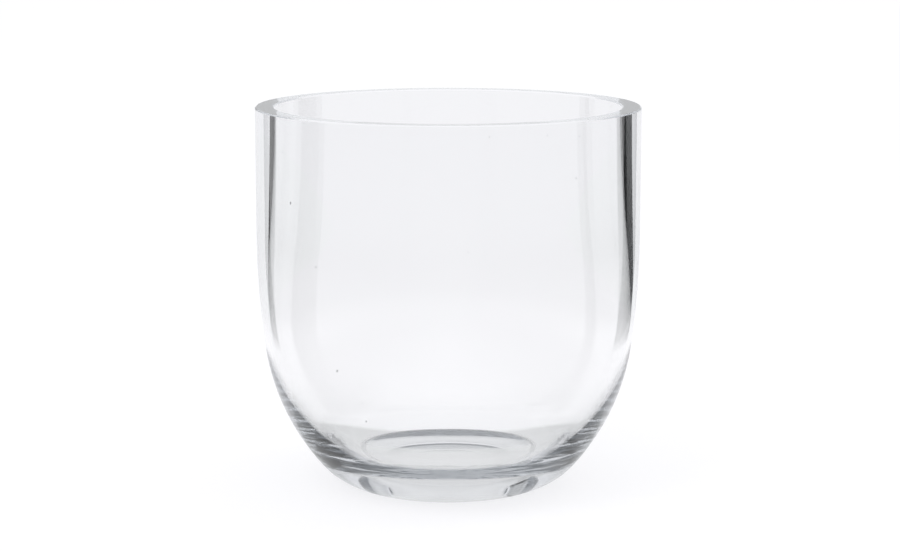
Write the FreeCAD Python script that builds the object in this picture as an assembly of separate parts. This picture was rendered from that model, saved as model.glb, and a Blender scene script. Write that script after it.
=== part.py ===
import FreeCAD, Part
import os
from math import atan2, cos, degrees, radians, sin

# Heavy blown-glass rose bowl vase: one piece of clear glass that stands on a ground foot ring.
# Millimetres and degrees. +Z is up, along the axis of the vase, and the origin is the centre of the foot.
# An angle is the slope of the profile above level at the place that it is named for.

# Outside: from the foot, three tangent arcs up to the full width, then an upright side to the rim
HEIGHT = 200.0
FOOT_RADIUS = 51.2
FOOT_ANGLE = 18.3
HEEL_RADIUS = 38.8
HEEL_END_ANGLE = 48.5
BOWL_RADIUS = 118.5
BOWL_END_ANGLE = 82.1
SIDE_RADIUS = 423.0
UPRIGHT_ANGLE = 90.0

# Inside: a rounded floor, a corner, a bowl and a side as tangent arcs, then an S of two arcs in to the thicker rim
FLOOR_HEIGHT = 7.2
FLOOR_EDGE_ANGLE = 20.0
CORNER_RADIUS = 30.0
CORNER_END_ANGLE = 50.0
INNER_BOWL_RADIUS = 95.0
INNER_BOWL_END_ANGLE = 82.0
INNER_SIDE_RADIUS = 150.0
SIDE_WALL = 5.6
RIM_WALL = 10.1

# The S turns from its lower arc to its upper one at this share of its rise
S_TURN_SHARE = 0.34

# The arrises of the cut rim, and the narrow ring that the foot is ground to, round a shallow domed punt
RIM_ARRIS = 0.7
FOOT_RING_WIDTH = 1.2
PUNT_DEPTH = 3.0


def point(radius, height):
    """A point of the profile, in the plane through the axis."""
    return FreeCAD.Vector(radius, 0, height)


def turned(start, radius, start_angle, end_angle):
    """Where an arc that leaves start at start_angle has got to when it slopes at end_angle."""
    a, b = radians(start_angle), radians(end_angle)
    return start + point(radius * (sin(b) - sin(a)), radius * (cos(a) - cos(b)))


def tangent_arc(start, radius, start_angle, end_angle):
    """An upward arc of the profile, as an edge, and the point where it ends. A negative radius bends it outwards."""
    middle = turned(start, radius, start_angle, (start_angle + end_angle) / 2)
    end = turned(start, radius, start_angle, end_angle)
    return Part.Arc(start, middle, end).toShape(), end


def line(start, end):
    return Part.LineSegment(start, end).toShape()


def s_curve(start, end):
    """Two tangent arcs, upright at both ends, from a wider start in to end."""
    lean = degrees(2 * atan2(start.x - end.x, end.z - start.z))
    whole_radius = (end.z - start.z) / sin(radians(lean))
    leaning = UPRIGHT_ANGLE + lean
    low, turn = tangent_arc(start, S_TURN_SHARE * whole_radius, UPRIGHT_ANGLE, leaning)
    high = tangent_arc(turn, (S_TURN_SHARE - 1) * whole_radius, leaning, UPRIGHT_ANGLE)[0]
    return [low, high]


def outside(foot_edge):
    """The edges from the foot up to where the full width is reached, and that place."""
    heel, heel_end = tangent_arc(foot_edge, HEEL_RADIUS, FOOT_ANGLE, HEEL_END_ANGLE)
    bowl, bowl_end = tangent_arc(heel_end, BOWL_RADIUS, HEEL_END_ANGLE, BOWL_END_ANGLE)
    side, shoulder = tangent_arc(bowl_end, SIDE_RADIUS, BOWL_END_ANGLE, UPRIGHT_ANGLE)
    return [heel, bowl, side], shoulder


def cut_rim(outer_radius):
    """The flat ground rim between its two arrises, from the outside to the inside, and its corners."""
    inner_radius = outer_radius - RIM_WALL
    low = HEIGHT - RIM_ARRIS
    corners = [
        point(outer_radius, low),
        point(outer_radius - RIM_ARRIS, HEIGHT),
        point(inner_radius + RIM_ARRIS, HEIGHT),
        point(inner_radius, low),
    ]
    return [line(a, b) for a, b in zip(corners, corners[1:])], corners


def inside(side_radius, rim_corner):
    """The edges from the middle of the floor up to the rim. The floor is as wide as the other arcs leave it."""
    middle = point(0, FLOOR_HEIGHT)
    corner_run = turned(middle, CORNER_RADIUS, FLOOR_EDGE_ANGLE, CORNER_END_ANGLE).x
    bowl_run = turned(middle, INNER_BOWL_RADIUS, CORNER_END_ANGLE, INNER_BOWL_END_ANGLE).x
    side_run = turned(middle, INNER_SIDE_RADIUS, INNER_BOWL_END_ANGLE, UPRIGHT_ANGLE).x
    floor_radius = (side_radius - side_run - bowl_run - corner_run) / sin(radians(FLOOR_EDGE_ANGLE))
    floor, floor_edge = tangent_arc(middle, floor_radius, 0, FLOOR_EDGE_ANGLE)
    corner, corner_end = tangent_arc(floor_edge, CORNER_RADIUS, FLOOR_EDGE_ANGLE, CORNER_END_ANGLE)
    bowl, bowl_end = tangent_arc(corner_end, INNER_BOWL_RADIUS, CORNER_END_ANGLE, INNER_BOWL_END_ANGLE)
    side, upright = tangent_arc(bowl_end, INNER_SIDE_RADIUS, INNER_BOWL_END_ANGLE, UPRIGHT_ANGLE)
    return [floor, corner, bowl, side] + s_curve(upright, rim_corner)


def underside(foot_edge):
    """The edges from the middle of the punt out to the edge of the foot."""
    ring_inner = foot_edge - point(FOOT_RING_WIDTH, 0)
    slope = degrees(2 * atan2(PUNT_DEPTH, ring_inner.x))
    dome_radius = ring_inner.x / sin(radians(slope))
    dome = tangent_arc(point(0, PUNT_DEPTH), -dome_radius, 0, -slope)[0]
    return [dome, line(ring_inner, foot_edge)]


def glass_vessel():
    """The whole vase, turned about its axis from one closed profile."""
    foot_edge = point(FOOT_RADIUS, 0)
    bowl_edges, shoulder = outside(foot_edge)
    rim_edges, corners = cut_rim(shoulder.x)
    rim_outer, rim_inner = corners[0], corners[-1]
    upper_side = line(shoulder, rim_outer)
    inner_edges = inside(shoulder.x - SIDE_WALL, rim_inner)
    axis_line = line(point(0, PUNT_DEPTH), point(0, FLOOR_HEIGHT))
    outer_edges = underside(foot_edge) + bowl_edges + [upper_side] + rim_edges
    profile = Part.Face(Part.Wire(Part.__sortEdges__(outer_edges + inner_edges + [axis_line])))
    return profile.revolve(FreeCAD.Vector(), FreeCAD.Vector(0, 0, 1), 360)


def main():
    os.makedirs("parts", exist_ok=True)
    vessel = glass_vessel()
    print("valid", vessel.isValid(), "solids", len(vessel.Solids), "volume", round(vessel.Volume))
    vessel.exportStep("parts/glass_vessel.step")


main()
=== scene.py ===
import random
from math import atan2, ceil, cos, degrees, hypot, pi, radians, sin

import bmesh
import bpy
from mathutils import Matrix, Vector


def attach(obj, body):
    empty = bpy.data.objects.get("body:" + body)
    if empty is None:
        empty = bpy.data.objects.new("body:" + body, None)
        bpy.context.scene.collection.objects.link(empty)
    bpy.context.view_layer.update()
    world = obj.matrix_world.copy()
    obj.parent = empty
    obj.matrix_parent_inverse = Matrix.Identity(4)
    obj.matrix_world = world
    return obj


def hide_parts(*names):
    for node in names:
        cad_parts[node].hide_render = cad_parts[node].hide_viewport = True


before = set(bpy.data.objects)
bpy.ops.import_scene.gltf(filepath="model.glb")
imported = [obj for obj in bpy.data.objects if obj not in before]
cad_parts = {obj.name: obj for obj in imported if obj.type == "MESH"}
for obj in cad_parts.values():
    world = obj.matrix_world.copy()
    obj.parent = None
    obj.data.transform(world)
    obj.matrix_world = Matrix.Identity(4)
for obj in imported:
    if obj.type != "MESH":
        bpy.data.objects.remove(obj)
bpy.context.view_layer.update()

# A heavy blown-glass rose bowl vase on a white sweep, with dark flags beside it that draw its edges.
# The vase's own sizes are in millimetres and degrees. Those of the studio are in metres, as in Blender.
MM = 0.001

# Outside of the wall: from the foot, arcs given by their radius and the slope at which each ends
HEIGHT = 200.0
FOOT_RADIUS = 51.2
FOOT_SLOPE = 18.3
HEEL_BOWL_AND_SIDE = [(38.8, 48.5), (118.5, 82.1), (423.0, 90.0)]

# Inside of the wall: a rounded floor, then a corner, a bowl and a side as arcs, and an S up to the rim
FLOOR_HEIGHT = 7.2
FLOOR_EDGE_SLOPE = 20.0
INNER_CORNER_BOWL_AND_SIDE = [(30.0, 50.0), (95.0, 82.0), (150.0, 90.0)]
SIDE_WALL = 5.6
RIM_WALL = 10.1
S_TURN_SHARE = 0.34

# The arrises of the cut rim, and the ground ring of the foot round its domed punt
RIM_ARRIS = 0.7
FOOT_RING_WIDTH = 1.2
PUNT_DEPTH = 3.0

# How finely the profile is drawn and turned
LONGEST_STEP = 3.6
LARGEST_TURN = 0.8
STEPS_ROUND = 300
MERGE_WITHIN = 0.002
SHARP_ANGLE = 25

# The slow waves that blowing leaves in the wall, which die out towards the cut rim and the ground foot
WAVE_HEIGHT = 0.05
WAVE_LENGTH = 42.0
WAVE_SEED = 3.0
CALM_NEAR_FOOT = 9.0
CALM_NEAR_RIM = 14.0

# Seeds, the small bubbles in the glass: degrees round from the front, height, share of the wall's
# thickness from the inside, and length of the bubble
LARGE_SEEDS = [
    (-53.3, 156.7, 0.45, 1.5),
    (-56.9, 181.8, 0.60, 0.7),
    (-41.9, 126.6, 0.40, 0.9),
    (-35.1, 75.1, 0.55, 1.3),
    (5.7, 138.0, 0.50, 0.6),
    (39.9, 171.4, 0.55, 0.8),
    (11.8, 194.0, 0.50, 0.7),
    (30.0, 193.5, 0.40, 0.6),
    (40.9, 192.0, 0.62, 0.6),
    (-27.2, 49.8, 0.50, 1.0),
    (-27.6, 59.6, 0.35, 0.6),
    (-5.7, 20.5, 0.50, 0.7),
    (5.6, 19.8, 0.40, 0.6),
    (-4.7, 9.9, 0.55, 0.8),
]

# The fine seeds, strewn between these heights, shares of the thickness and lengths
FINE_SEEDS = 44
FINE_SEED_HEIGHTS = (14.0, 195.0)
FINE_SEED_SHARES = (0.15, 0.85)
FINE_SEED_LENGTHS = (0.16, 0.42)
FINE_SEED_START = 11

# The shape of every seed, how clear of the surface it stays, and how far above the floor the inside counts
SEED_SLENDERNESS = 0.6
SEED_CLEARANCE = 0.9
ABOVE_FLOOR = 1.0

# The clear glass, and how it takes up light inside
GLASS_IOR = 1.51
GLASS_TINT = (0.69, 0.71, 0.735)
GLASS_TINT_DEPTH = 10.0

# The fine ripples on the inside: their length round and up the wall, their height, and where they die out
RIPPLE_ROUND = 30.0
RIPPLE_UPRIGHT = 3.0
RIPPLE_HEIGHT = 0.08
RIPPLE_FULL_BELOW = 16.0
RIPPLE_NONE_ABOVE = 30.0

# The ground foot ring: how far up it is ground, the grain of its edge, and its roughness
GROUND_TO = 0.25
GROUND_GRAIN = 0.8
GROUND_ROUGHNESS = 0.35

# The camera's place in metres, how far down it looks in degrees, and its lens
CAMERA_PLACE = (0.0009, -1.254, 0.324)
CAMERA_PITCH = 9.69
IMAGE_WIDTH = 900
FOCAL_PIXELS = 2408.0
SENSOR_WIDTH = 36.0


def arc(start, radius, start_slope, end_slope):
    """The points of the profile after start on an arc between two slopes. A negative radius bends it outwards."""
    turn = end_slope - start_slope
    steps = max(2, ceil(abs(turn) / LARGEST_TURN), ceil(abs(radius * radians(turn)) / LONGEST_STEP))
    first = radians(start_slope)
    slopes = [radians(start_slope + turn * step / steps) for step in range(1, steps + 1)]
    return [
        (start[0] + radius * (sin(slope) - sin(first)), start[1] + radius * (cos(first) - cos(slope)))
        for slope in slopes
    ]


def straight(start, end):
    """The points of the profile after start on a straight line to end."""
    length = hypot(end[0] - start[0], end[1] - start[1])
    steps = max(1, ceil(length / LONGEST_STEP))
    return [tuple(a + (b - a) * step / steps for a, b in zip(start, end)) for step in range(1, steps + 1)]


def arcs_from(start, slope, radii_and_slopes):
    """The points after start along tangent arcs, each given by its radius and the slope at which it ends."""
    points = []
    for radius, end_slope in radii_and_slopes:
        points += arc(points[-1] if points else start, radius, slope, end_slope)
        slope = end_slope
    return points


def outer_profile():
    """Radius and height of the outside, from the middle of the punt, under the foot and up to the rim."""
    ring_inner = FOOT_RADIUS - FOOT_RING_WIDTH
    punt_slope = degrees(2 * atan2(PUNT_DEPTH, ring_inner))
    points = [(0.0, PUNT_DEPTH)]
    points += arc(points[0], -ring_inner / sin(radians(punt_slope)), 0.0, -punt_slope)
    points.append((FOOT_RADIUS, 0.0))
    points += arcs_from(points[-1], FOOT_SLOPE, HEEL_BOWL_AND_SIDE)
    return points + straight(points[-1], (points[-1][0], HEIGHT - RIM_ARRIS))


def inner_profile(side_radius, rim_radius):
    """Radius and height of the inside, from the middle of the floor up to the rim. The arcs set the floor's width."""
    slopes = [FLOOR_EDGE_SLOPE] + [slope for _, slope in INNER_CORNER_BOWL_AND_SIDE]
    runs = [
        radius * (sin(radians(high)) - sin(radians(low)))
        for (radius, high), low in zip(INNER_CORNER_BOWL_AND_SIDE, slopes)
    ]
    floor_radius = (side_radius - sum(runs)) / sin(radians(FLOOR_EDGE_SLOPE))
    middle = (0.0, FLOOR_HEIGHT)
    points = [middle]
    points += arcs_from(middle, 0.0, [(floor_radius, FLOOR_EDGE_SLOPE)] + INNER_CORNER_BOWL_AND_SIDE)
    rise = HEIGHT - RIM_ARRIS - points[-1][1]
    lean = degrees(2 * atan2(side_radius - rim_radius, rise))
    whole_radius = rise / sin(radians(lean))
    s_arcs = [(S_TURN_SHARE * whole_radius, 90.0 + lean), ((S_TURN_SHARE - 1) * whole_radius, 90.0)]
    return points + arcs_from(points[-1], 90.0, s_arcs)


def cut_rim(outer_radius, inner_radius):
    """The flat rim between its two arrises, from the outside in."""
    flat = (outer_radius - RIM_ARRIS, HEIGHT)
    return [flat] + straight(flat, (inner_radius + RIM_ARRIS, HEIGHT))


OUTER = outer_profile()
RIM_OUTER_RADIUS = OUTER[-1][0]
INNER = inner_profile(RIM_OUTER_RADIUS - SIDE_WALL, RIM_OUTER_RADIUS - RIM_WALL)


def radius_at(profile, height):
    """How wide a profile is at a height, above its foot or floor."""
    rising = [(a, b) for a, b in zip(profile, profile[1:]) if a[1] <= height <= b[1] and b[1] > a[1]]
    low, high = rising[-1]
    return low[0] + (high[0] - low[0]) * (height - low[1]) / (high[1] - low[1])


def new_node(tree, kind, inputs=None, **settings):
    """A node of a tree with its settings. Each input is given as a value or as the output that feeds it."""
    made = tree.nodes.new(kind)
    for name, value in settings.items():
        setattr(made, name, value)
    for name, value in (inputs or {}).items():
        if isinstance(value, bpy.types.NodeSocket):
            tree.links.new(value, made.inputs[name])
        else:
            made.inputs[name].default_value = value
    return made


def placed_group(tree, group, inputs):
    """The outputs of a node group placed in a material with its own values."""
    return new_node(tree, "ShaderNodeGroup", inputs, node_tree=group).outputs


def reckon(tree, operation, first, second=0.5, third=0.5):
    """A Math node's result."""
    return new_node(tree, "ShaderNodeMath", {0: first, 1: second, 2: third}, operation=operation).outputs[0]


def reckon_vector(tree, operation, first, second):
    """A Vector Math node's vector result."""
    return new_node(tree, "ShaderNodeVectorMath", {0: first, 1: second}, operation=operation).outputs[0]


def fade(tree, value, start, end):
    """Rises smoothly from 0 to 1 as value goes from start to end."""
    limits = {"Value": value, "From Min": start, "From Max": end}
    return new_node(tree, "ShaderNodeMapRange", limits, interpolation_type="SMOOTHSTEP").outputs["Result"]


def new_tree(name, kind, inputs, outputs):
    """A node group with named sockets, given as name and socket type, and its input and output nodes."""
    tree = bpy.data.node_groups.new(name, kind)
    for socket, socket_type in inputs:
        tree.interface.new_socket(socket, in_out="INPUT", socket_type=socket_type)
    for socket, socket_type in outputs:
        tree.interface.new_socket(socket, in_out="OUTPUT", socket_type=socket_type)
    return tree, tree.nodes.new("NodeGroupInput").outputs, tree.nodes.new("NodeGroupOutput").inputs


def turned_wall_tree():
    """Turns a profile round the axis into a closed wall, and gives it the slow waves of blown glass."""
    tree, given, result = new_tree(
        "turned_wall",
        "GeometryNodeTree",
        [
            ("Profile", "NodeSocketGeometry"),
            ("Steps Round", "NodeSocketInt"),
            ("Height", "NodeSocketFloat"),
            ("Wave Height", "NodeSocketFloat"),
            ("Wave Length", "NodeSocketFloat"),
            ("Wave Seed", "NodeSocketFloat"),
            ("Calm Near Foot", "NodeSocketFloat"),
            ("Calm Near Rim", "NodeSocketFloat"),
            ("Glass", "NodeSocketMaterial"),
        ],
        [("Wall", "NodeSocketGeometry")],
    )
    tree.is_modifier = True

    # One row of the sheet for each point of the profile, and one column for each step round
    points = new_node(tree, "GeometryNodeAttributeDomainSize", {"Geometry": given["Profile"]}).outputs["Point Count"]
    columns = reckon(tree, "ADD", given["Steps Round"], 1.0)
    sheet = new_node(tree, "GeometryNodeMeshGrid", {"Vertices X": points, "Vertices Y": columns}).outputs["Mesh"]
    index = new_node(tree, "GeometryNodeInputIndex").outputs[0]
    row = new_node(tree, "FunctionNodeIntegerMath", {0: index, 1: columns}, operation="DIVIDE").outputs[0]
    column = new_node(tree, "FunctionNodeIntegerMath", {0: index, 1: columns}, operation="MODULO").outputs[0]
    place = new_node(
        tree,
        "GeometryNodeSampleIndex",
        {
            "Geometry": given["Profile"],
            "Value": new_node(tree, "GeometryNodeInputPosition").outputs[0],
            "Index": row,
        },
        data_type="FLOAT_VECTOR",
    ).outputs[0]
    angle = reckon(tree, "MULTIPLY", reckon(tree, "DIVIDE", column, given["Steps Round"]), 2 * pi)
    turned = new_node(tree, "ShaderNodeVectorRotate", {"Vector": place, "Angle": angle}, rotation_type="Z_AXIS")
    round_sheet = new_node(tree, "GeometryNodeSetPosition", {"Geometry": sheet, "Position": turned.outputs[0]})
    closed = new_node(
        tree, "GeometryNodeMergeByDistance", {"Geometry": round_sheet.outputs[0], "Distance": MERGE_WITHIN * MM}
    ).outputs[0]

    # The waves run along the surface's normal
    position = new_node(tree, "GeometryNodeInputPosition").outputs[0]
    height = new_node(tree, "ShaderNodeSeparateXYZ", {0: position}).outputs["Z"]
    noise = new_node(
        tree,
        "ShaderNodeTexNoise",
        {
            "Vector": position,
            "W": given["Wave Seed"],
            "Scale": reckon(tree, "DIVIDE", 1.0, given["Wave Length"]),
            "Detail": 1.0,
        },
        noise_dimensions="4D",
    ).outputs[0]
    from_foot = fade(tree, height, 0.0, given["Calm Near Foot"])
    from_rim = fade(tree, reckon(tree, "SUBTRACT", given["Height"], height), 0.0, given["Calm Near Rim"])
    swing = reckon(tree, "MULTIPLY", reckon(tree, "SUBTRACT", noise, 0.5), given["Wave Height"])
    swing = reckon(tree, "MULTIPLY", swing, reckon(tree, "MULTIPLY", from_foot, from_rim))
    normal = new_node(tree, "GeometryNodeInputNormal").outputs[0]
    offset = new_node(tree, "ShaderNodeVectorMath", {0: normal, "Scale": swing}, operation="SCALE").outputs[0]
    wavy = new_node(tree, "GeometryNodeSetPosition", {"Geometry": closed, "Offset": offset}).outputs[0]

    smooth = new_node(tree, "GeometryNodeSetShadeSmooth", {"Geometry": wavy}).outputs[0]
    real = new_node(tree, "GeometryNodeRealizeInstances", {"Geometry": smooth}).outputs[0]
    made = new_node(tree, "GeometryNodeSetMaterial", {"Geometry": real, "Material": given["Glass"]}).outputs[0]
    tree.links.new(made, result["Wall"])
    return tree


def seed_tree():
    """Puts a small bubble at each point, as long as the point's seed_length, with its faces turned to its inside."""
    tree, given, result = new_tree(
        "seeds_in_glass",
        "GeometryNodeTree",
        [
            ("Places", "NodeSocketGeometry"),
            ("Slenderness", "NodeSocketFloat"),
            ("Random Seed", "NodeSocketInt"),
            ("Glass", "NodeSocketMaterial"),
        ],
        [("Seeds", "NodeSocketGeometry")],
    )
    tree.is_modifier = True
    bubble = new_node(tree, "GeometryNodeMeshIcoSphere", {"Radius": 0.5, "Subdivisions": 3}).outputs["Mesh"]
    length = new_node(
        tree, "GeometryNodeInputNamedAttribute", {"Name": "seed_length"}, data_type="FLOAT"
    ).outputs["Attribute"]
    width = reckon(tree, "MULTIPLY", length, given["Slenderness"])
    size = new_node(tree, "ShaderNodeCombineXYZ", {"X": width, "Y": width, "Z": length}).outputs[0]
    lean = new_node(
        tree,
        "FunctionNodeRandomValue",
        {"Min": (-0.5, -0.5, 0.0), "Max": (0.5, 0.5, pi), "Seed": given["Random Seed"]},
        data_type="FLOAT_VECTOR",
    ).outputs[0]
    placed = new_node(
        tree,
        "GeometryNodeInstanceOnPoints",
        {"Points": given["Places"], "Instance": bubble, "Rotation": lean, "Scale": size},
    ).outputs[0]
    real = new_node(tree, "GeometryNodeRealizeInstances", {"Geometry": placed}).outputs[0]
    inward = new_node(tree, "GeometryNodeFlipFaces", {"Mesh": real}).outputs[0]
    smooth = new_node(tree, "GeometryNodeSetShadeSmooth", {"Geometry": inward}).outputs[0]
    made = new_node(tree, "GeometryNodeSetMaterial", {"Geometry": smooth, "Material": given["Glass"]}).outputs[0]
    tree.links.new(made, result["Seeds"])
    return tree


def made_by_nodes(name, mesh, tree, values):
    """The plain mesh that a Geometry Nodes tree makes from a mesh, with the tree's named inputs set to values."""
    carrier = bpy.data.objects.new(name, mesh)
    bpy.context.scene.collection.objects.link(carrier)
    modifier = carrier.modifiers.new(tree.name, "NODES")
    modifier.node_group = tree
    for socket in tree.interface.items_tree:
        if socket.in_out == "INPUT" and socket.name in values:
            modifier[socket.identifier] = values[socket.name]
    shown = carrier.evaluated_get(bpy.context.evaluated_depsgraph_get())
    made = bpy.data.meshes.new_from_object(shown)
    carrier.modifiers.clear()
    bpy.data.objects.remove(carrier)
    return made


def wall_mesh(glass):
    """The whole wall as one closed skin, turned from its profile."""
    points = OUTER + cut_rim(RIM_OUTER_RADIUS, INNER[-1][0]) + INNER[::-1]
    mesh = bpy.data.meshes.new("wall_profile")
    edges = [(step, step + 1) for step in range(len(points) - 1)]
    mesh.from_pydata([(radius * MM, 0.0, height * MM) for radius, height in points], edges, [])
    return made_by_nodes(
        "wall",
        mesh,
        turned_wall_tree(),
        {
            "Steps Round": STEPS_ROUND,
            "Height": HEIGHT * MM,
            "Wave Height": WAVE_HEIGHT * MM,
            "Wave Length": WAVE_LENGTH * MM,
            "Wave Seed": WAVE_SEED,
            "Calm Near Foot": CALM_NEAR_FOOT * MM,
            "Calm Near Rim": CALM_NEAR_RIM * MM,
            "Glass": glass,
        },
    )


def seed_place(turn, height, share):
    """A place in the wall: degrees round from the front, height, and share of the thickness from the inside."""
    inner = radius_at(INNER, height) if height > FLOOR_HEIGHT + ABOVE_FLOOR else 0.0
    thickness = radius_at(OUTER, height) - inner
    clear = SEED_CLEARANCE / thickness
    radius = inner + thickness * min(max(share, clear), 1 - clear)
    angle = radians(turn)
    return radius * sin(angle) * MM, -radius * cos(angle) * MM, height * MM


def seeds_mesh(glass):
    """All the seeds: the large ones where they are listed, and fine ones strewn through the wall."""
    chance = random.Random(FINE_SEED_START)
    seeds = list(LARGE_SEEDS)
    for _ in range(FINE_SEEDS):
        turn, height = chance.uniform(-180, 180), chance.uniform(*FINE_SEED_HEIGHTS)
        seeds.append((turn, height, chance.uniform(*FINE_SEED_SHARES), chance.uniform(*FINE_SEED_LENGTHS)))
    mesh = bpy.data.meshes.new("seed_places")
    mesh.from_pydata([seed_place(turn, height, share) for turn, height, share, _ in seeds], [], [])
    lengths = mesh.attributes.new("seed_length", "FLOAT", "POINT")
    lengths.data.foreach_set("value", [length * MM for *_, length in seeds])
    values = {"Slenderness": SEED_SLENDERNESS, "Random Seed": FINE_SEED_START, "Glass": glass}
    return made_by_nodes("seeds", mesh, seed_tree(), values)


def blown_vessel(glass):
    """The vase: the wall with its faces outwards, and in it the seeds, whose faces look into their bubbles."""
    mesh = bpy.data.meshes.new("blown_vessel")
    work = bmesh.new()
    work.from_mesh(wall_mesh(glass))
    bmesh.ops.recalc_face_normals(work, faces=work.faces)
    work.from_mesh(seeds_mesh(glass))
    work.to_mesh(mesh)
    work.free()
    mesh.shade_smooth()
    mesh.set_sharp_from_angle(angle=radians(SHARP_ANGLE))
    mesh.materials.clear()
    mesh.materials.append(glass)
    vessel = bpy.data.objects.new("blown_vessel", mesh)
    bpy.context.scene.collection.objects.link(vessel)
    return vessel


def new_material(name):
    """The node tree of an empty material, the inputs of its output node, and the material."""
    material = bpy.data.materials.new(name)
    material.use_nodes = True
    material.node_tree.nodes.clear()
    return material.node_tree, material.node_tree.nodes.new("ShaderNodeOutputMaterial").inputs, material


def cord_ripple_group():
    """Height of the fine ripples that drawn-out cords of glass leave on the inside, low in the wall."""
    tree, given, result = new_tree(
        "cord_ripple",
        "ShaderNodeTree",
        [
            ("Place", "NodeSocketVector"),
            ("Facing", "NodeSocketVector"),
            ("Round Length", "NodeSocketFloat"),
            ("Upright Length", "NodeSocketFloat"),
            ("Full Below", "NodeSocketFloat"),
            ("None Above", "NodeSocketFloat"),
        ],
        [("Height", "NodeSocketFloat")],
    )
    round_scale = reckon(tree, "DIVIDE", 1.0, given["Round Length"])
    upright_scale = reckon(tree, "DIVIDE", 1.0, given["Upright Length"])
    scale = new_node(tree, "ShaderNodeCombineXYZ", {"X": round_scale, "Y": round_scale, "Z": upright_scale})
    stretched = reckon_vector(tree, "MULTIPLY", given["Place"], scale.outputs[0])
    noise = new_node(
        tree, "ShaderNodeTexNoise", {"Vector": stretched, "Scale": 1.0, "Detail": 2.0, "Distortion": 0.6}
    ).outputs[0]
    height = new_node(tree, "ShaderNodeSeparateXYZ", {0: given["Place"]}).outputs["Z"]
    share = reckon(tree, "SUBTRACT", 1.0, fade(tree, height, given["Full Below"], given["None Above"]))

    # The inside of the wall faces the axis
    outwards = reckon_vector(tree, "MULTIPLY", given["Place"], (1.0, 1.0, 0.0))
    turn = new_node(tree, "ShaderNodeVectorMath", {0: outwards, 1: given["Facing"]}, operation="DOT_PRODUCT")
    inside = reckon(tree, "LESS_THAN", turn.outputs["Value"], 0.0)
    rippled = reckon(tree, "MULTIPLY", reckon(tree, "MULTIPLY", noise, share), inside)
    tree.links.new(rippled, result["Height"])
    return tree


def ground_foot_group():
    """Mask of the ground ring on which the foot stands: 1 on the ring and 0 on the polished glass."""
    tree, given, result = new_tree(
        "ground_foot",
        "ShaderNodeTree",
        [("Place", "NodeSocketVector"), ("Ground To", "NodeSocketFloat"), ("Grain Length", "NodeSocketFloat")],
        [("Mask", "NodeSocketFloat")],
    )
    height = new_node(tree, "ShaderNodeSeparateXYZ", {0: given["Place"]}).outputs["Z"]
    grain_scale = reckon(tree, "DIVIDE", 1.0, given["Grain Length"])
    grain = new_node(
        tree, "ShaderNodeTexNoise", {"Vector": given["Place"], "Scale": grain_scale, "Detail": 2.0}
    ).outputs[0]
    edge = reckon(tree, "MULTIPLY", given["Ground To"], reckon(tree, "ADD", grain, 0.5))
    low = reckon(tree, "SUBTRACT", 1.0, fade(tree, height, reckon(tree, "MULTIPLY", edge, 0.5), edge))
    tree.links.new(low, result["Mask"])
    return tree


def clear_glass():
    """Clear soda-lime glass with fine ripples, a slight blue-grey cast and a ground foot ring."""
    tree, surface, material = new_material("clear_glass")
    coordinates = new_node(tree, "ShaderNodeTexCoord").outputs
    place = coordinates["Object"]
    ripple = placed_group(
        tree,
        cord_ripple_group(),
        {
            "Place": place,
            "Facing": coordinates["Normal"],
            "Round Length": RIPPLE_ROUND * MM,
            "Upright Length": RIPPLE_UPRIGHT * MM,
            "Full Below": RIPPLE_FULL_BELOW * MM,
            "None Above": RIPPLE_NONE_ABOVE * MM,
        },
    )
    ground = placed_group(
        tree,
        ground_foot_group(),
        {"Place": place, "Ground To": GROUND_TO * MM, "Grain Length": GROUND_GRAIN * MM},
    )
    bump = new_node(
        tree, "ShaderNodeBump", {"Height": ripple["Height"], "Strength": 1.0, "Distance": RIPPLE_HEIGHT * MM}
    )
    glass = new_node(
        tree,
        "ShaderNodeBsdfPrincipled",
        {
            "Base Color": (1.0, 1.0, 1.0, 1.0),
            "Metallic": 0.0,
            "Transmission Weight": 1.0,
            "IOR": GLASS_IOR,
            "Roughness": reckon(tree, "MULTIPLY", ground["Mask"], GROUND_ROUGHNESS),
            "Normal": bump.outputs["Normal"],
        },
    )
    tint = new_node(
        tree, "ShaderNodeVolumeAbsorption", {"Color": (*GLASS_TINT, 1.0), "Density": GLASS_TINT_DEPTH}
    )
    tree.links.new(glass.outputs["BSDF"], surface["Surface"])
    tree.links.new(tint.outputs["Volume"], surface["Volume"])
    return material


# The sweep: how far it reaches, its height, its paper, and the share of it that reads as white to the camera
SWEEP_REACH = 8.0
SWEEP_LEVEL = -0.0002
SWEEP_COLOUR = 0.9
SWEEP_WHITE_SHARE = 0.72
SWEEP_WHITE = 1.12

# Painted light on the sweep as the glass shows it: a brighter painted pool round the vase and a darker tone far off,
# and where one turns to the other
PAINTED_POOL_TONE, PAINTED_FAR_TONE = 1.03, 0.95
FALL_OFF_FROM, FALL_OFF_TO = 0.1, 1.3
SWEEP_TINGE = (0.99, 0.99, 1.015, 1.0)

# Painted shade under and before the vase: a grey sheet on the floor that shows only in the glass, in place of the
# shade the vase casts there. It has a straight back edge and fades out on its other sides.
SHADE_SHEET_ACROSS = (-0.19, -0.11, 0.11, 0.19)
SHADE_SHEET_ALONG = (-0.19, -0.11, 0.038, 0.046)
SHADE_SHEET_LEVEL = -0.0001
PAINTED_SHADE_TONE = 0.76

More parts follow.
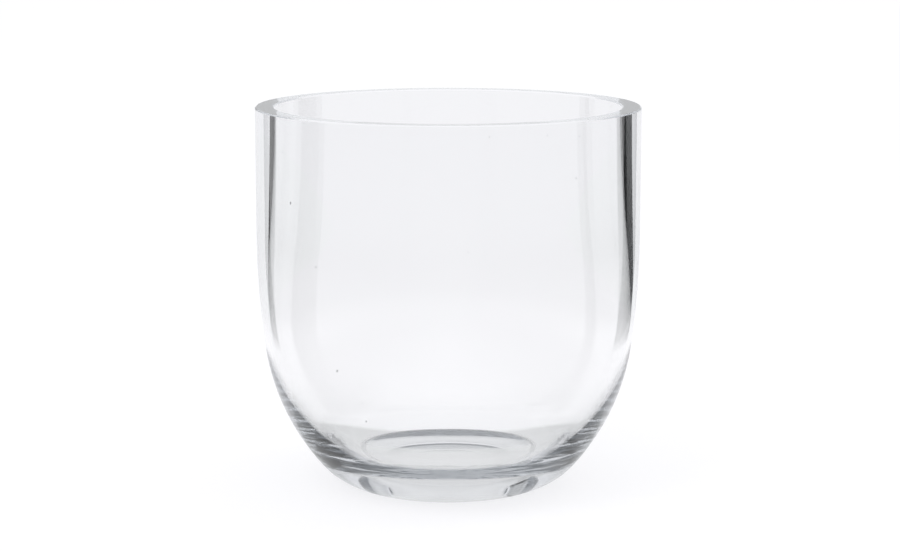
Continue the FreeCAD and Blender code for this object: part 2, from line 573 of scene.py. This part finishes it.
# The tent round the vase, which shows only in the glass: its tones at each elevation, for azimuths that count
# round to the right from behind the vase
TENT_RADIUS = 2.4
TENT_STEP_ROUND, TENT_STEP_UP = 4, 3
TENT_COOL = (0.99, 1.0, 1.015)
TENT_AZIMUTHS = (-180, -125, -95, -60, -35, -15, 15, 35, 60, 95, 125, 180)
TENT_TONES = {
    -12: (0.94,) * 12,
    0: (0.94,) * 12,
    4: (0.85, 0.88, 0.90, 0.88, 0.90, 0.92, 0.92, 0.90, 0.85, 0.90, 0.88, 0.85),
    8: (0.65, 0.50, 0.45, 0.35, 0.85, 0.88, 0.88, 0.70, 0.25, 0.45, 0.50, 0.65),
    13: (0.40, 0.25, 0.25, 0.20, 0.90, 0.92, 0.92, 0.55, 0.12, 0.25, 0.25, 0.40),
    22: (0.50, 0.15, 0.08, 0.12, 0.90, 0.92, 0.92, 0.35, 0.08, 0.08, 0.15, 0.50),
    33: (0.45, 0.12, 0.05, 0.15, 0.65, 0.85, 0.85, 0.12, 0.05, 0.05, 0.12, 0.45),
    46: (0.35, 0.35, 0.20, 0.70, 0.90, 0.85, 0.85, 0.55, 0.20, 0.20, 0.35, 0.35),
    59: (0.55, 0.50, 0.40, 0.75, 0.85, 0.80, 0.80, 0.65, 0.45, 0.50, 0.55, 0.55),
    90: (0.50,) * 12,
}

# Two dark flags beside the vase that draw the edges of its wall, each from its far end to its near one.
# They pale towards the floor.
FLAG_HEIGHTS, FLAG_TONES = (-0.01, 0.03, 0.6), (0.95, 0.02, 0.02)
FLAG_PLANS = {
    "flag_left": [(-0.30, 0.222), (-0.30, 0.145)],
    "flag_right": [(0.30, 0.327), (0.30, 0.113)],
}

# The white of the room where the camera sees it, its strength as light, and where the soft lamps stand
ROOM_WHITE, ROOM_LIGHT = 1.0, 0.8
LAMP_SIZE, LAMPS_FACE = 1.2, (0.0, 0.0, 0.1)
LAMPS = {
    "lamp_over_left": ((-1.0, -0.8, 1.8), 9.0),
    "lamp_over_right": ((1.2, 0.4, 1.7), 6.0),
}

# How often light may turn inside the thick glass
LIGHT_BOUNCES = 160


def white_sweep():
    """The floor's finish: white paper that keeps a soft shadow to the camera. In the glass it shows as a glow with a
    painted pool of light, brighter round the vase and darker far off.
    """
    tree, surface, material = new_material("white_sweep")
    colour = (SWEEP_COLOUR, SWEEP_COLOUR, SWEEP_COLOUR, 1.0)
    paper = new_node(
        tree, "ShaderNodeBsdfPrincipled", {"Base Color": colour, "Roughness": 1.0, "Specular IOR Level": 0.0}
    )
    path = new_node(tree, "ShaderNodeLightPath").outputs
    in_glass = reckon(tree, "MAXIMUM", path["Is Glossy Ray"], path["Is Transmission Ray"])
    place = new_node(tree, "ShaderNodeTexCoord").outputs["Object"]
    reach = new_node(tree, "ShaderNodeVectorMath", {0: place}, operation="LENGTH").outputs["Value"]
    # Painted light: in the glass the sweep glows brighter round the vase and darker far off.
    far = fade(tree, reach, FALL_OFF_FROM, FALL_OFF_TO)
    shown = reckon(tree, "MULTIPLY_ADD", far, PAINTED_FAR_TONE - PAINTED_POOL_TONE, PAINTED_POOL_TONE)
    extra = reckon(tree, "MULTIPLY", in_glass, reckon(tree, "SUBTRACT", shown, SWEEP_WHITE))
    glow = new_node(
        tree,
        "ShaderNodeEmission",
        {"Color": SWEEP_TINGE, "Strength": reckon(tree, "ADD", extra, SWEEP_WHITE)},
    )
    by_camera = reckon(tree, "MULTIPLY", path["Is Camera Ray"], SWEEP_WHITE_SHARE)
    share = reckon(tree, "MAXIMUM", by_camera, in_glass)
    mixed = new_node(tree, "ShaderNodeMixShader", {0: share, 1: paper.outputs[0], 2: glow.outputs[0]})
    tree.links.new(mixed.outputs[0], surface["Surface"])
    return material


def studio_and_painted_shade_tone():
    """The even glow of the tent, the flags and the painted shade sheet, in the tone that each point of them carries.
    """
    tree, surface, material = new_material("studio_and_painted_shade_tone")
    tone = new_node(tree, "ShaderNodeAttribute", attribute_name="tone").outputs["Color"]
    glow = new_node(tree, "ShaderNodeEmission", {"Color": tone, "Strength": 1.0})
    tree.links.new(glow.outputs[0], surface["Surface"])
    return material


def stage_object(name, corners, faces, material):
    """A piece of the studio round the vase."""
    mesh = bpy.data.meshes.new(name)
    mesh.from_pydata([Vector(corner) for corner in corners], [], faces)
    mesh.materials.append(material)
    piece = bpy.data.objects.new(name, mesh)
    bpy.context.scene.collection.objects.link(piece)
    return piece


def toned_sheet(name, rows, tones, material, camera=None):
    """A studio piece made of rows of corners, each with its tone. It shows only in the glass, and stands still
    before the camera if that is given."""
    columns = len(rows[0])
    faces = [
        (row * columns + step, row * columns + step + 1, (row + 1) * columns + step + 1, (row + 1) * columns + step)
        for row in range(len(rows) - 1)
        for step in range(columns - 1)
    ]
    sheet = stage_object(name, [corner for row in rows for corner in row], faces, material)
    colours = sheet.data.color_attributes.new("tone", "FLOAT_COLOR", "POINT")
    cooled = [(*(tone * cool for cool in TENT_COOL), 1.0) for row in tones for tone in row]
    colours.data.foreach_set("color", [part for colour in cooled for part in colour])
    if camera:
        sheet.parent = camera
        sheet.matrix_parent_inverse = camera.matrix_world.inverted()
    sheet.visible_camera = sheet.visible_diffuse = sheet.visible_shadow = False
    return sheet


def between(value, marks, tones):
    """The tone at a value, in even steps between the marks."""
    for low, high, first, last in zip(marks, marks[1:], tones, tones[1:]):
        if value <= high:
            return first + (last - first) * max(value - low, 0) / (high - low)
    return tones[-1]


def tent_tone(azimuth, elevation):
    """How bright the tent is in a direction."""
    column = [between(azimuth, TENT_AZIMUTHS, row) for row in TENT_TONES.values()]
    return between(elevation, list(TENT_TONES), column)


def studio_tent(material, camera):
    """A tent over the vase, from a little below its horizon up."""
    azimuths = range(-180, 181, TENT_STEP_ROUND)
    elevations = range(min(TENT_TONES), max(TENT_TONES) + 1, TENT_STEP_UP)
    rows = []
    for e in map(radians, elevations):
        level, height = TENT_RADIUS * cos(e), TENT_RADIUS * sin(e)
        rows.append([(level * sin(a), level * cos(a), height) for a in map(radians, azimuths)])
    tones = [[tent_tone(azimuth, elevation) for azimuth in azimuths] for elevation in elevations]
    toned_sheet("studio_tent", rows, tones, material, camera)


def studio_flags(material, camera):
    """The two flags, from the floor up."""
    for name, plan in FLAG_PLANS.items():
        rows = [[(x, y, z) for x, y in plan] for z in FLAG_HEIGHTS]
        toned_sheet(name, rows, [[tone] * 2 for tone in FLAG_TONES], material, camera)


def painted_shade_sheet(material):
    """The painted shade sheet, just under the foot. It lies still on the floor."""
    rows = [[(x, y, SHADE_SHEET_LEVEL) for x in SHADE_SHEET_ACROSS] for y in SHADE_SHEET_ALONG]
    # The grey middle rows are painted shade, where the vase shades the floor under and before it. The edges fade to
    # the sweep's tone.
    middle = [PAINTED_POOL_TONE, PAINTED_SHADE_TONE, PAINTED_SHADE_TONE, PAINTED_POOL_TONE]
    edge = [PAINTED_POOL_TONE] * 4
    toned_sheet("painted_shade_under_vase", rows, [edge, middle, middle, edge], material)


def studio_floor():
    """The white sweep on which the vase stands, just under its foot and the painted shade sheet."""
    signs = [(-1, -1), (1, -1), (1, 1), (-1, 1)]
    corners = [(SWEEP_REACH * x, SWEEP_REACH * y, SWEEP_LEVEL) for x, y in signs]
    return stage_object("white_sweep", corners, [(0, 1, 2, 3)], white_sweep())


def studio_world():
    """White where the camera sees it, and softer where it only lights."""
    world = bpy.data.worlds.new("white_room")
    world.use_nodes = True
    world.node_tree.nodes.clear()
    tree = world.node_tree
    path = new_node(tree, "ShaderNodeLightPath").outputs
    strength = reckon(tree, "MULTIPLY_ADD", path["Is Camera Ray"], ROOM_WHITE - ROOM_LIGHT, ROOM_LIGHT)
    air = new_node(tree, "ShaderNodeBackground", {"Color": (1.0, 1.0, 1.0, 1.0), "Strength": strength})
    output = tree.nodes.new("ShaderNodeOutputWorld")
    tree.links.new(air.outputs[0], output.inputs["Surface"])
    bpy.context.scene.world = world


def soft_lamp(name, place, power):
    """A large soft lamp that faces the vase."""
    lamp = bpy.data.lights.new(name, "AREA")
    lamp.shape, lamp.size, lamp.energy = "DISK", LAMP_SIZE, power
    piece = bpy.data.objects.new(name, lamp)
    piece.location = place
    piece.rotation_euler = (Vector(LAMPS_FACE) - Vector(place)).to_track_quat("-Z", "Y").to_euler()
    piece.visible_camera = piece.visible_transmission = piece.visible_glossy = False
    bpy.context.scene.collection.objects.link(piece)


def studio_camera():
    """The camera, in the photograph's place."""
    lens = bpy.data.cameras.new("camera")
    lens.sensor_width = SENSOR_WIDTH
    lens.lens = FOCAL_PIXELS / IMAGE_WIDTH * SENSOR_WIDTH
    camera = bpy.data.objects.new("camera", lens)
    camera.location = CAMERA_PLACE
    camera.rotation_euler = (radians(90 - CAMERA_PITCH), 0.0, 0.0)
    bpy.context.scene.collection.objects.link(camera)
    bpy.context.scene.camera = camera
    bpy.context.view_layer.update()
    return camera


def main():
    vessel = blown_vessel(clear_glass())
    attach(vessel, "root")
    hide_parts("glass_vessel")

    studio_floor()
    studio_world()
    camera = studio_camera()
    tone = studio_and_painted_shade_tone()
    studio_tent(tone, camera)
    studio_flags(tone, camera)
    painted_shade_sheet(tone)
    for name, (lamp_place, power) in LAMPS.items():
        soft_lamp(name, lamp_place, power)

    scene = bpy.context.scene
    scene.view_settings.view_transform = "Standard"
    scene.cycles.max_bounces = LIGHT_BOUNCES
    scene.cycles.transmission_bounces = LIGHT_BOUNCES
    scene.cycles.glossy_bounces = LIGHT_BOUNCES


main()
